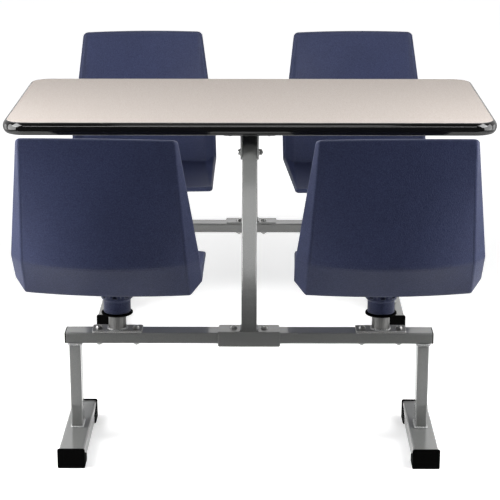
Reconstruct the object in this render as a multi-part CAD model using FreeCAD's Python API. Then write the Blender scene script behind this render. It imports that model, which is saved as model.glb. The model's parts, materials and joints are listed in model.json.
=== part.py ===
import FreeCAD, Part
import math
import os

# Rectangular table on a welded steel frame that also carries four swivel bucket seats.
# Millimetres. +X runs along the table's long side, +Y across it, +Z is up.
# The origin is on the floor under the middle of the table.
# The frame is the same at both ends and on both sides, so it is built from four stations:
# front or rear (the sign of Y) and left or right (the sign of X).

Vector = FreeCAD.Vector
UP = Vector(0, 0, 1)
ACROSS = Vector(0, 1, 0)
ALONG = Vector(1, 0, 0)

# ---------------------------------------------------------------- driving dimensions

# table top
TABLE_LENGTH = 1219.2
TABLE_WIDTH = 609.6
TABLE_HEIGHT = 753.0
TABLE_THICKNESS = 31.75
TABLE_CORNER_R = 57.0
EDGE_PROUD = 10.0  # how far the edge band stands out from the panel
EDGE_LIP = 0.2  # flat rim of the band next to the panel
EDGE_ROUND = 6.0  # rounding of the band above and below its crown
EDGE_TONGUE = 2.4
EDGE_TONGUE_DEPTH = 9.0
EDGE_SLOT_SPARE = 1.0  # slot depth beyond the tongue
LAMINATE = 1.2
BACKER = 0.8
LAMINATE_BEVEL = 0.6

# frame
BEAM_SPREAD = 990.0  # between the middles of the front and the rear beam
BEAM_LENGTH = 876.0
BEAM_TOP = 288.5
TUBE_WIDE = 50.8
TUBE_NARROW = 27.0
TUBE_WALL = 2.0
TUBE_ROUND = 3.5
BEAM_PLUG_FLANGE = 3.0
BEAM_PLUG_DEPTH = 16.0
BEAM_PLUG_ROUND = 1.2
BEAM_PLUG_WALL = 3.0
LEG_INSET = 20.5  # from the beam's end to the middle of the leg
FOOT_SHIFT = 4.0  # how far the foot's middle lies outside the beam's
FOOT_LENGTH = 322.0
FOOT_WIDTH = 60.0
FOOT_HEIGHT = 40.0
FOOT_ROUND = 5.0
FOOT_PAD = 5.5  # cap material under the foot tube
CAP_WALL = 2.5
CAP_END = 3.5
CAP_LENGTH = 46.0
CAP_RISE = 4.0  # how far the cap's end plate stands above the foot tube
CAP_CHEEK_REAR = 20.0  # height of the cap's cheeks at their rear end
CAP_ROUND = 2.0
CAP_TOP_CORNER = 4.5
CAP_LOW_CORNER = 3.5

# posts from the beams up to the table top
POST_SIZE = 37.0
POST_WALL = 2.5
POST_FOOT_SETBACK = 1.4  # from the beam's outer face in to the post's outer face
POST_BOLT_INSET = 70.8  # from the table's edge in to the bolt through the post
POST_BOLT_DROP = 55.5  # from the table's underside down to that bolt
POST_BOLT_D = 8.0
EAR = 4.0  # thickness of the bracket's ears
EAR_REACH = 16.0  # from the bolt down to the ear's lower edge
EAR_FOOT = 24.0  # half length of the ear's lower edge
EAR_MARGIN = 8.0  # from the bracket plate's end to the ear
EAR_CORNER = 14.0
BRACKET_PLATE = 4.0
BRACKET_LENGTH = 136.0
BRACKET_WIDTH = 130.0
BRACKET_CORNER = 8.0
BRACKET_SCREW_EDGE_X = 17.0
BRACKET_SCREW_EDGE_Y = 12.0
WOOD_SCREW_D = 5.0
WOOD_SCREW_LENGTH = 22.0

# plates on the beams
PLATE = 4.5  # thickness of the saddle and pedestal plates
SADDLE_LENGTH = 145.0
SADDLE_FLANGE_OVERHANG = 2.0
SADDLE_FLANGE_DROP = 38.0
SADDLE_FLANGE = 4.0
SADDLE_FLANGE_CORNER = 4.0
SADDLE_FOLD = 2.0
SADDLE_BOLT_OFF_POST = 18.25  # from the post's face to the saddle bolt
PEDESTAL_PLATE_LENGTH = 120.0
PEDESTAL_BOLT_EDGE = 15.5
PLATE_SETBACK = 0.9  # from the beam's face in to the plates' edges
PLATE_CORNER = 5.0
FRAME_BOLT_D = 8.0

# pedestals and swivels
SEAT_INSET = 122.5  # from the beam's end to the seat's swivel axis
COLUMN_D = 42.4
COLUMN_WALL = 3.0
COLUMN_WELD = 3.0
COLUMN_HEIGHT = 38.0
RING_D = 75.0
RING_THICKNESS = 4.5
RING_ROUND = 1.0
SPINDLE_D = 28.0
SPINDLE_CHAMFER = 1.0
SPINDLE_PLUG_LIFT = 2.0
BUSH_WALL = 3.0
BUSH_LENGTH = 20.0
HUB_D = 65.0
HUB_HEIGHT = 82.2
HUB_LEAD_IN = 1.5
HUB_SLEEVE = 35.2  # from the hub's lower end up to its flare
HUB_FLARE = 5.0
HUB_FLARE_HEIGHT = 20.0
HUB_FLANGE_REACH = 25.5  # how far the flange stands out from the sleeve
HUB_FLANGE = 6.0
HUB_RIB = 3.0
HUB_RIBS = 8
HUB_RIB_OVERLAP = 4.0  # how far the ribs reach into the sleeve
HUB_RIB_SETBACK = 5.0
HUB_NOTCH = 10.0
HUB_NOTCH_SILL = 5.0
HUB_BOLT_EDGE = 11.0
WASHER_D = 42.0
WASHER = 3.0
WASHER_ROOM = 2.0
RETAINER_ROOM = 12.5  # clear height above the retaining screw
RETAINER_HEAD = 6.5
RETAINER_HEAD_FLATS = 16.0
RETAINER_SCREW_D = 10.0
RETAINER_SCREW_DEPTH = 20.0
SEAT_PLATE_SIZE = 170.0
SEAT_PLATE = 4.0
SEAT_PLATE_CORNER = 12.0
SEAT_BOLT_EDGE = 18.0
SEAT_BOLT_D = 6.0
SEAT_BOLT_HEAD = 4.0
SEAT_BOLT_FLATS = 10.0
SEAT_BOLT_COVER = 5.0  # shell left above the seat bolts' tips
SWIVEL_HALF_RANGE = 80.0
STOP_PEG_D = 6.0
STOP_GROOVE_DEPTH = 2.8

# seat shell: half widths at the corners between panel and wings, and steps in the side view;
# a wing is how far its rim stands outwards, forwards and up from that corner
PAN_THICKNESS = 16.0
BACK_THICKNESS = 12.0
RIM_THICKNESS = 10.0
SEAT_HALF_WIDTH = 190.0
PAN_REACH = 181.0
PAN_WING = 5.5
HIP_BACK = 142.0
HIP_WIDENS = 1.0
HIP_BULGE = 20.0
HIP_WING = (25.5, 21.0, 29.0)
BEND_RUN = 50.0
BEND_RISE = 89.0
BEND_NARROWS = 1.5
BEND_BULGE = 40.0
BEND_DROP = 3.5
BEND_WING = (27.5, 24.0, 9.0)
BACK_RUN = 69.0
BACK_RISE = 303.0
TOP_NARROWS = 18.5
TOP_BULGE = 6.0
TOP_CROWN = 2.5
TOP_WING = (7.0, 10.0)
TOP_CORNER_R = 16.0
TOP_ROUND = 4.5
TOP_SHOULDER = 2.0
FRONT_CORNER_R = 14.0
FRONT_ROUND = 6.0
CREASE_CUT = 5.0
CREASE_EASE = 6.0
RIM_BULGE = 2.5
RIM_THINNING = 0.6
RIM_LEAN_IN = 0.8
RIM_LEAN_UP = 0.6
WING_START = 0.2
WING_START_RISE = 0.7
WING_START_LEAN = 1.5
CORNER_SHARE = 0.4
PULL_BACK_SHARE = 0.3
INNER_SHARE = 0.5
INNER_SHARE_FRONT = 0.4
FRONT_MARGIN = 1.2

# where each seat was last left, as a turn about its column in degrees
REST_TURN = {"fl": -3.5, "fr": 2.3, "rl": 3.0, "rr": 2.3}

# clearances
FIT_GAP = 0.3
RUNNING_GAP = 0.06
BOLT_CLEARANCE = 0.4

# ---------------------------------------------------------------- derived levels

TABLE_UNDERSIDE = TABLE_HEIGHT - TABLE_THICKNESS
BEAM_Y = BEAM_SPREAD / 2
BEAM_END = BEAM_LENGTH / 2
BEAM_BOTTOM = BEAM_TOP - TUBE_NARROW
PLATE_TOP = BEAM_TOP + PLATE
FOOT_X = BEAM_END - LEG_INSET
FOOT_Y = BEAM_Y + FOOT_SHIFT
FOOT_TOP = FOOT_PAD + FOOT_HEIGHT
POST_BOLT_Y = TABLE_WIDTH / 2 - POST_BOLT_INSET
BRACKET_SCREW_X = BRACKET_WIDTH / 2 - BRACKET_SCREW_EDGE_X
BRACKET_SCREW_Y = BRACKET_LENGTH / 2 - BRACKET_SCREW_EDGE_Y
PLATE_DEPTH = TUBE_WIDE - 2 * PLATE_SETBACK
SADDLE_BOLT_X = POST_SIZE / 2 + SADDLE_BOLT_OFF_POST
PEDESTAL_BOLT_X = PEDESTAL_PLATE_LENGTH / 2 - PEDESTAL_BOLT_EDGE
SEAT_X = BEAM_END - SEAT_INSET
RING_UNDERSIDE = PLATE_TOP + COLUMN_HEIGHT
RING_TOP = RING_UNDERSIDE + RING_THICKNESS
HUB_BOTTOM = RING_TOP + FIT_GAP
HUB_FLARE_BOTTOM = HUB_BOTTOM + HUB_SLEEVE
HUB_TOP = HUB_BOTTOM + HUB_HEIGHT
HUB_FLARE_D = HUB_D + 2 * HUB_FLARE
HUB_FLANGE_D = HUB_D + 2 * HUB_FLANGE_REACH
SEAT_BOTTOM = HUB_TOP + SEAT_PLATE
SPINDLE_TOP = SEAT_BOTTOM - RETAINER_ROOM - RETAINER_HEAD - WASHER
WASHER_WELL_D = WASHER_D + 2 * WASHER_ROOM
BUSH_D = SPINDLE_D + 2 * RUNNING_GAP + 2 * BUSH_WALL
STOP_PEG_RADIUS = (BUSH_D + HUB_D) / 4
PAN_RIM_HALF_WIDTH = SEAT_HALF_WIDTH + PAN_WING
HIP_HALF_WIDTH = SEAT_HALF_WIDTH + HIP_WIDENS
BEND_HALF_WIDTH = SEAT_HALF_WIDTH - BEND_NARROWS
BEND_BACK = HIP_BACK + BEND_RUN
TOP_HALF_WIDTH = SEAT_HALF_WIDTH - TOP_NARROWS
TOP_RIM_HALF_WIDTH = TOP_HALF_WIDTH + TOP_WING[0]
TOP_BACK = BEND_BACK + BACK_RUN
TOP_HEIGHT = BEND_RISE + BACK_RISE
STATIONS = {"fl": (-1, -1), "fr": (1, -1), "rl": (-1, 1), "rr": (1, 1)}
ENDS = {"front": -1, "rear": 1}


# ---------------------------------------------------------------- helpers

def block(x0, x1, y0, y1, z0, z1):
    return Part.makeBox(x1 - x0, y1 - y0, z1 - z0, Vector(x0, y0, z0))


def disc(diameter, z0, z1, x=0.0, y=0.0):
    return Part.makeCylinder(diameter / 2, z1 - z0, Vector(x, y, z0))


def moved(shape, x=0.0, y=0.0, z=0.0):
    copy = shape.copy()
    copy.translate(Vector(x, y, z))
    return copy


def turned(shape, degrees, axis=UP, centre=Vector(0, 0, 0)):
    copy = shape.copy()
    copy.rotate(centre, axis, degrees)
    return copy


def rounded_prism(length, width, z0, z1, radius):
    """Upright prism with a rounded rectangular outline, centred on the Z axis."""
    prism = block(-length / 2, length / 2, -width / 2, width / 2, z0, z1)
    return prism.makeFillet(radius, upright_edges(prism))


def upright_edges(shape):
    return [e for e in shape.Edges if e.BoundBox.XLength < 1e-6 and e.BoundBox.YLength < 1e-6]


def edges_at_height(shape, z):
    return [e for e in shape.Edges if abs(e.BoundBox.ZMin - z) < 1e-4 and abs(e.BoundBox.ZMax - z) < 1e-4]


def edges_along_y(shape, x, z):
    """Straight edges parallel to Y at both sides x of the middle and at height z."""
    boxes = [(edge, edge.BoundBox) for edge in shape.Edges]
    return [edge for edge, b in boxes if max(b.XLength, b.ZLength) < 1e-3
            and abs(abs(b.XMin) - x) < 1e-3 and abs(b.ZMin - z) < 1e-3]


def hex_prism(across_flats, height, z0=0.0):
    radius = across_flats / math.sqrt(3)
    corners = [Vector(radius * math.cos(math.radians(60 * i)), radius * math.sin(math.radians(60 * i)), z0)
               for i in range(7)]
    return Part.Face(Part.makePolygon(corners)).extrude(Vector(0, 0, height))


def hex_bolt(diameter, grip):
    """Bolt along Z whose head sits on z = 0 and whose shank runs down through grip and nut."""
    head = hex_prism(1.7 * diameter, 0.65 * diameter)
    crown = Part.makeCone(1.05 * diameter, 0.70 * diameter, 0.65 * diameter)
    head = head.common(crown.fuse(disc(2.1 * diameter, 0, 0.4 * diameter)))
    washer = disc(2.3 * diameter, 0, 0.18 * diameter)
    head = moved(head, z=0.18 * diameter)
    shank = disc(diameter, -grip - 1.3 * diameter, 0.3 * diameter)
    return head.fuse([washer, shank]).removeSplitter()


def button_bolt(diameter, grip):
    """Button-head socket bolt along Z on a washer, whose shank runs down through grip and nut."""
    washer = disc(2.1 * diameter, 0, 0.18 * diameter)
    head = disc(1.75 * diameter, 0.18 * diameter, 0.73 * diameter)
    head = head.makeFillet(0.35 * diameter, edges_at_height(head, 0.73 * diameter))
    socket = hex_prism(0.63 * diameter, diameter, 0.40 * diameter)
    shank = disc(diameter, -grip - 1.3 * diameter, 0.3 * diameter)
    return head.cut(socket).fuse([washer, shank]).removeSplitter()


def hex_nut(diameter, grip):
    """Nut and washer under the grip of a bolt made by hex_bolt."""
    washer = disc(2.1 * diameter, -grip - 0.18 * diameter, -grip)
    body = hex_prism(1.7 * diameter, 0.8 * diameter, -grip - 0.98 * diameter)
    hole = disc(diameter + 2 * RUNNING_GAP, -grip - 2 * diameter, 0)
    return washer.fuse(body).cut(hole)


def rect_tube(wide, narrow, length, wall, radius):
    """Tube along Z with its wide side on X, from z = 0."""
    outer = rounded_prism(wide, narrow, 0, length, radius)
    bore = rounded_prism(wide - 2 * wall, narrow - 2 * wall, -1, length + 1, max(radius - wall, 0.4))
    return outer.cut(bore)


# ---------------------------------------------------------------- table top

def table_parts():
    length = TABLE_LENGTH - 2 * EDGE_PROUD
    width = TABLE_WIDTH - 2 * EDGE_PROUD
    radius = TABLE_CORNER_R - EDGE_PROUD
    top = TABLE_HEIGHT
    under = TABLE_UNDERSIDE
    laminate = rounded_prism(length, width, top - LAMINATE, top, radius)
    laminate = laminate.makeChamfer(LAMINATE_BEVEL, edges_at_height(laminate, top))
    core = rounded_prism(length, width, under + BACKER, top - LAMINATE, radius)
    core = core.cut(edge_tongue(FIT_GAP / 2, EDGE_SLOT_SPARE))
    backer = rounded_prism(length, width, under, under + BACKER, radius)
    for x, y in bracket_screw_places():
        core = core.cut(disc(WOOD_SCREW_D + 2 * RUNNING_GAP, under, screw_tip() + 1, x, y))
        backer = backer.cut(disc(WOOD_SCREW_D + 2 * RUNNING_GAP, under - 1, under + BACKER + 1, x, y))
    band = edge_band().fuse(edge_tongue(0.0, 0.0))
    return {"table_laminate": laminate, "table_core": core, "table_backer": backer,
            "table_edge": band.removeSplitter()}


def edge_tongue(gap, spare):
    """Ring at mid thickness that runs from inside the edge band into the core, or the slot for it."""
    middle = TABLE_HEIGHT - TABLE_THICKNESS / 2
    half = EDGE_TONGUE / 2 + gap
    outer = EDGE_PROUD - EDGE_ROUND
    inner = EDGE_PROUD + EDGE_TONGUE_DEPTH + spare
    rings = [rounded_prism(TABLE_LENGTH - 2 * inset, TABLE_WIDTH - 2 * inset, middle - half, middle + half,
                           TABLE_CORNER_R - inset) for inset in (outer, inner)]
    return rings[0].cut(rings[1])


def edge_profile(x, y, out):
    """Cross-section of the edge band: flat against the panel at x, y and crowned on the other side."""
    half = TABLE_THICKNESS / 2
    middle = TABLE_HEIGHT - half
    reach = EDGE_PROUD - EDGE_LIP
    crown = (reach ** 2 - EDGE_ROUND ** 2 + (half - EDGE_ROUND) ** 2) / (2 * (reach - EDGE_ROUND))
    lean = math.asin((half - EDGE_ROUND) / (crown - EDGE_ROUND))

    def at(step, height):
        return Vector(x + out.x * step, y + out.y * step, middle + height)

    def on_round(angle, sign):
        step = EDGE_LIP + EDGE_ROUND * math.cos(angle)
        return at(step, sign * (half - EDGE_ROUND + EDGE_ROUND * math.sin(angle)))

    steep = (lean + math.pi / 2) / 2
    low = [at(EDGE_LIP, -half), on_round(steep, -1), on_round(lean, -1)]
    high = [on_round(lean, 1), on_round(steep, 1), at(EDGE_LIP, half)]
    edges = [Part.makeLine(at(0, half), at(0, -half)), Part.makeLine(at(0, -half), low[0]),
             Part.Arc(*low).toShape(), Part.Arc(low[2], at(EDGE_PROUD, 0), high[0]).toShape(),
             Part.Arc(*high).toShape(), Part.makeLine(high[2], at(0, half))]
    return Part.Face(Part.Wire(edges))


def edge_band():
    """Crowned moulding round the panel: four straight runs and four quarter turns."""
    x = TABLE_LENGTH / 2 - EDGE_PROUD
    y = TABLE_WIDTH / 2 - EDGE_PROUD
    x_turn = TABLE_LENGTH / 2 - TABLE_CORNER_R
    y_turn = TABLE_WIDTH / 2 - TABLE_CORNER_R
    pieces = []
    for sign in (-1, 1):
        end = edge_profile(sign * x, -y_turn, ALONG * sign)
        pieces.append(end.extrude(ACROSS * (2 * y_turn)))
        side = edge_profile(-x_turn, sign * y, ACROSS * sign)
        pieces.append(side.extrude(ALONG * (2 * x_turn)))
        for x_sign in (-1, 1):
            start = edge_profile(x_sign * x, sign * y_turn, ALONG * x_sign)
            centre = Vector(x_sign * x_turn, sign * y_turn, 0)
            pieces.append(start.revolve(centre, UP * (x_sign * sign), 90))
    return pieces[0].fuse(pieces[1:])


# ---------------------------------------------------------------- frame tubes

def beam(side):
    tube = rect_tube(TUBE_NARROW, TUBE_WIDE, BEAM_LENGTH, TUBE_WALL, TUBE_ROUND)
    tube = turned(tube, 90, ACROSS)
    tube = moved(tube, -BEAM_END, side * BEAM_Y, BEAM_TOP - TUBE_NARROW / 2)
    for x in beam_bolt_places():
        hole = disc(FRAME_BOLT_D + 2 * BOLT_CLEARANCE, BEAM_BOTTOM - 1, BEAM_TOP + 1, x, side * BEAM_Y)
        tube = tube.cut(hole)
    return tube


def beam_bolt_places():
    saddle = [sign * SADDLE_BOLT_X for sign in (-1, 1)]
    return saddle + pedestal_bolt_places()


def pedestal_bolt_places():
    return [seat * SEAT_X + sign * PEDESTAL_BOLT_X for seat in (-1, 1) for sign in (-1, 1)]


def beam_plugs():
    """Plastic plug in each open end of both beams."""
    flange = rounded_prism(TUBE_NARROW, TUBE_WIDE, 0, BEAM_PLUG_FLANGE, TUBE_ROUND)
    flange = flange.makeFillet(BEAM_PLUG_ROUND, edges_at_height(flange, BEAM_PLUG_FLANGE))
    inner_x = TUBE_NARROW - 2 * TUBE_WALL - 2 * RUNNING_GAP
    inner_y = TUBE_WIDE - 2 * TUBE_WALL - 2 * RUNNING_GAP
    stem = rounded_prism(inner_x, inner_y, -BEAM_PLUG_DEPTH, 0, TUBE_ROUND - TUBE_WALL + 0.2)
    core_x = inner_x / 2 - BEAM_PLUG_WALL
    core_y = inner_y / 2 - BEAM_PLUG_WALL
    stem = stem.cut(block(-core_x, core_x, -core_y, core_y, -BEAM_PLUG_DEPTH, -2))
    plug = turned(flange.fuse(stem), 90, ACROSS)
    plugs = []
    for side in (-1, 1):
        right = moved(plug, BEAM_END, side * BEAM_Y, BEAM_TOP - TUBE_NARROW / 2)
        plugs += [right, turned(right, 180, UP)]
    return Part.makeCompound(plugs)


def leg(x_side, y_side):
    tube = rect_tube(TUBE_NARROW, TUBE_WIDE, BEAM_BOTTOM - FOOT_TOP, TUBE_WALL, TUBE_ROUND)
    return moved(tube, x_side * FOOT_X, y_side * BEAM_Y, FOOT_TOP)


def foot(x_side, y_side):
    tube = rect_tube(FOOT_WIDTH, FOOT_HEIGHT, FOOT_LENGTH, TUBE_WALL, FOOT_ROUND)
    tube = turned(tube, -90, ALONG)
    return moved(tube, x_side * FOOT_X, y_side * FOOT_Y - FOOT_LENGTH / 2, FOOT_PAD + FOOT_HEIGHT / 2)


def foot_cap(x_side, y_side, end):
    """Cap on one end of a foot tube: end plate, pad under the tube and two cheeks that fall away."""
    y_out = FOOT_LENGTH / 2 + CAP_END
    y_in = y_out - CAP_LENGTH
    width = FOOT_WIDTH + 2 * CAP_WALL
    top = FOOT_TOP + CAP_RISE
    profile = [(y_out, 0), (y_out, top), (FOOT_LENGTH / 2, top), (FOOT_LENGTH / 2, FOOT_TOP - FOOT_ROUND),
               (y_in, CAP_CHEEK_REAR), (y_in, 0), (y_out, 0)]
    outline = Part.makePolygon([Vector(-width / 2, y, z) for y, z in profile])
    cap = Part.Face(outline).extrude(Vector(width, 0, 0))
    cap = cap.makeFillet(CAP_TOP_CORNER, edges_along_y(cap, width / 2, top))
    cap = cap.makeFillet(CAP_LOW_CORNER, edges_along_y(cap, width / 2, 0))
    outer_end = [e for e in cap.Edges if e.BoundBox.YMin > y_out - 1e-3]
    cap = cap.makeFillet(CAP_ROUND, outer_end)
    cap = cap.cut(block(-FOOT_WIDTH / 2, FOOT_WIDTH / 2, y_in - 1, FOOT_LENGTH / 2, FOOT_PAD, top + 1))
    if end < 0:
        cap = turned(cap, 180, UP)
    return moved(cap, x_side * FOOT_X, y_side * FOOT_Y, 0)


# ---------------------------------------------------------------- posts and their brackets

def post_line():
    """Foot and top of the post's centre line and its lean from upright, for the +Y side."""
    bolt_z = TABLE_UNDERSIDE - POST_BOLT_DROP
    rise = bolt_z - PLATE_TOP
    outside = BEAM_Y + TUBE_WIDE / 2 - POST_FOOT_SETBACK
    lean = math.atan2(outside - POST_BOLT_Y, rise)
    for _ in range(20):
        foot_y = outside - POST_SIZE / (2 * math.cos(lean))
        lean = math.atan2(foot_y - POST_BOLT_Y, rise)
    return foot_y, bolt_z, lean


def post(side):
    foot_y, bolt_z, lean = post_line()
    top = TABLE_UNDERSIDE - BRACKET_PLATE - FIT_GAP
    overrun = 2 * POST_SIZE
    length = (top - PLATE_TOP) / math.cos(lean) + 2 * overrun
    tube = rect_tube(POST_SIZE, POST_SIZE, length, POST_WALL, TUBE_ROUND)
    tube = moved(tube, z=-overrun)
    tube = turned(tube, math.degrees(lean), ALONG)
    tube = moved(tube, 0, foot_y, PLATE_TOP)
    slab = block(-POST_SIZE, POST_SIZE, -TABLE_LENGTH, TABLE_LENGTH, PLATE_TOP, top)
    tube = tube.common(slab)
    hole = Part.makeCylinder(POST_BOLT_D / 2 + BOLT_CLEARANCE, 2 * POST_SIZE,
                             Vector(-POST_SIZE, POST_BOLT_Y, bolt_z), ALONG)
    tube = tube.cut(hole)
    return tube if side > 0 else turned(tube, 180, UP)


def top_bracket(side):
    """Plate screwed under the table top with two ears that hold the post between them."""
    _, bolt_z, _ = post_line()
    under = TABLE_UNDERSIDE
    plate_low = under - BRACKET_PLATE
    y_mid = bracket_middle()
    plate = rounded_prism(BRACKET_WIDTH, BRACKET_LENGTH, plate_low, under, BRACKET_CORNER)
    plate = moved(plate, 0, y_mid, 0)
    for x, y in bracket_screw_places():
        if y > 0:
            plate = plate.cut(disc(WOOD_SCREW_D + 2 * BOLT_CLEARANCE, plate_low - 1, under + 1, x, y))
    ear_low = bolt_z - EAR_REACH
    half = BRACKET_LENGTH / 2 - EAR_MARGIN
    corners = [(y_mid - half, plate_low), (POST_BOLT_Y - EAR_FOOT, ear_low),
               (POST_BOLT_Y + EAR_FOOT, ear_low), (y_mid + half, plate_low), (y_mid - half, plate_low)]
    outline = Part.makePolygon([Vector(0, y, z) for y, z in corners])
    ear = Part.Face(outline).extrude(Vector(EAR, 0, 0))
    low_corners = [e for e in ear.Edges if e.BoundBox.XLength > EAR / 2 and e.BoundBox.ZMax < ear_low + 1e-3]
    ear = ear.makeFillet(EAR_CORNER, low_corners)
    bore_radius = POST_BOLT_D / 2 + BOLT_CLEARANCE
    bore = Part.makeCylinder(bore_radius, 3 * EAR, Vector(-EAR, POST_BOLT_Y, bolt_z), ALONG)
    ear = ear.cut(bore)
    inner = POST_SIZE / 2 + FIT_GAP
    bracket = plate.fuse([moved(ear, inner), moved(ear, -inner - EAR)]).removeSplitter()
    return bracket if side > 0 else turned(bracket, 180, UP)


def bracket_middle():
    foot_y, bolt_z, lean = post_line()
    top_y = POST_BOLT_Y - (TABLE_UNDERSIDE - bolt_z) * math.tan(lean)
    return (top_y + POST_BOLT_Y) / 2


def bracket_screw_places():
    y_mid = bracket_middle()
    return [(sx * BRACKET_SCREW_X, sy * (y_mid + dy * BRACKET_SCREW_Y))
            for sy in (-1, 1) for sx in (-1, 1) for dy in (-1, 1)]


def screw_tip():
    return TABLE_UNDERSIDE - BRACKET_PLATE + WOOD_SCREW_LENGTH


def bracket_screws():
    """Pan-head wood screws that hold both brackets to the table top."""
    seat = TABLE_UNDERSIDE - BRACKET_PLATE
    head = disc(2 * WOOD_SCREW_D, seat - 0.6 * WOOD_SCREW_D, seat)
    head = head.makeFillet(0.4 * WOOD_SCREW_D, edges_at_height(head, seat - 0.6 * WOOD_SCREW_D))
    tip = Part.makeCone(WOOD_SCREW_D / 2, 0.3, WOOD_SCREW_D, Vector(0, 0, screw_tip() - WOOD_SCREW_D))
    screw = head.fuse([disc(WOOD_SCREW_D, seat, screw_tip() - WOOD_SCREW_D), tip]).removeSplitter()
    return Part.makeCompound([moved(screw, x, y) for x, y in bracket_screw_places()])


def post_bolts():
    _, bolt_z, _ = post_line()
    grip = POST_SIZE + 2 * FIT_GAP + 2 * EAR
    pair = [hex_bolt(POST_BOLT_D, grip), hex_nut(POST_BOLT_D, grip)]
    solids = []
    for piece in pair:
        laid = turned(piece, -90, ACROSS)
        laid = moved(laid, -grip / 2, 0, bolt_z)
        solids += [moved(laid, y=side * POST_BOLT_Y) for side in (-1, 1)]
    return Part.makeCompound(solids)


def saddle(side):
    """Folded plate under each post: bolted on the beam, with a flange down the beam's outer face."""
    plate = rounded_prism(SADDLE_LENGTH, PLATE_DEPTH, BEAM_TOP, PLATE_TOP, PLATE_CORNER)
    y_out = TUBE_WIDE / 2
    tongue = block(-SADDLE_LENGTH / 2, SADDLE_LENGTH / 2, 0, y_out, BEAM_TOP, PLATE_TOP)
    end = SADDLE_LENGTH / 2 + SADDLE_FLANGE_OVERHANG
    flange = block(-end, end, y_out, y_out + SADDLE_FLANGE, PLATE_TOP - SADDLE_FLANGE_DROP, PLATE_TOP)
    boxes = [(edge, edge.BoundBox) for edge in flange.Edges]
    low = [edge for edge, b in boxes if b.YLength > 1 and max(b.XLength, b.ZLength) < 1e-3]
    flange = flange.makeFillet(SADDLE_FLANGE_CORNER, low)
    top_edge = [e for e in flange.Edges if e.BoundBox.YMin > y_out + 1 and e.BoundBox.ZMin > PLATE_TOP - 1e-3]
    flange = flange.makeFillet(SADDLE_FOLD, top_edge)
    shape = plate.fuse([tongue, flange]).removeSplitter()
    for sign in (-1, 1):
        x = sign * SADDLE_BOLT_X
        shape = shape.cut(disc(FRAME_BOLT_D + 2 * BOLT_CLEARANCE, BEAM_TOP - 1, PLATE_TOP + 1, x, 0))
    shape = moved(shape, y=BEAM_Y)
    return shape if side > 0 else turned(shape, 180, UP)


def plate_bolts(places):
    """Bolts down through a plate and the beam, with their nuts below, at each x on both beams."""
    grip = PLATE + TUBE_NARROW
    solids = []
    for piece in (button_bolt(FRAME_BOLT_D, grip), hex_nut(FRAME_BOLT_D, grip)):
        solids += [moved(piece, x, side * BEAM_Y, PLATE_TOP) for side in (-1, 1) for x in places]
    return Part.makeCompound(solids)


# ---------------------------------------------------------------- swivel

def at_station(shape, name, rest=False):
    """Places a shape built round the Z axis, with its back towards +Y, at a seat station."""
    x_side, y_side = STATIONS[name]
    degrees = (0 if y_side > 0 else 180) + (REST_TURN[name] if rest else 0)
    return moved(turned(shape, degrees), x_side * SEAT_X, y_side * BEAM_Y)


def pedestal():
    plate = rounded_prism(PEDESTAL_PLATE_LENGTH, PLATE_DEPTH, BEAM_TOP, PLATE_TOP, PLATE_CORNER)
    for sign in (-1, 1):
        x = sign * PEDESTAL_BOLT_X
        plate = plate.cut(disc(FRAME_BOLT_D + 2 * BOLT_CLEARANCE, BEAM_TOP - 1, PLATE_TOP + 1, x, 0))
    column = disc(COLUMN_D, PLATE_TOP, RING_UNDERSIDE)
    weld = Part.makeCone(COLUMN_D / 2 + COLUMN_WELD, COLUMN_D / 2, COLUMN_WELD, Vector(0, 0, PLATE_TOP))
    bore = disc(COLUMN_D - 2 * COLUMN_WALL, PLATE_TOP, RING_UNDERSIDE + 1)
    return plate.fuse([column, weld]).cut(bore).removeSplitter()


def spindle():
    """Turned shaft: a plug in the column's bore and the running diameter above it."""
    plug_d = COLUMN_D - 2 * COLUMN_WALL - 2 * RUNNING_GAP
    plug = disc(plug_d, PLATE_TOP + SPINDLE_PLUG_LIFT, RING_UNDERSIDE)
    shaft = disc(SPINDLE_D, RING_UNDERSIDE, SPINDLE_TOP)
    shaft = shaft.makeChamfer(SPINDLE_CHAMFER, edges_at_height(shaft, SPINDLE_TOP))
    thread_low = SPINDLE_TOP - RETAINER_SCREW_DEPTH - SPINDLE_PLUG_LIFT
    thread = disc(RETAINER_SCREW_D + 2 * RUNNING_GAP, thread_low, SPINDLE_TOP + 1)
    return plug.fuse(shaft).cut(thread).removeSplitter()


def hub_shoulder():
    """Height of the hub's inner shoulder, just under the retaining washer."""
    return SPINDLE_TOP - FIT_GAP


def retainer():
    """Washer and screw on the spindle's top that keep the hub from lifting off."""
    washer = disc(WASHER_D, SPINDLE_TOP, SPINDLE_TOP + WASHER)
    head = moved(hex_prism(RETAINER_HEAD_FLATS, RETAINER_HEAD), z=SPINDLE_TOP + WASHER)
    shank = disc(RETAINER_SCREW_D, SPINDLE_TOP - RETAINER_SCREW_DEPTH, SPINDLE_TOP + WASHER)
    return washer.fuse([head, shank]).removeSplitter()


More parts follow.
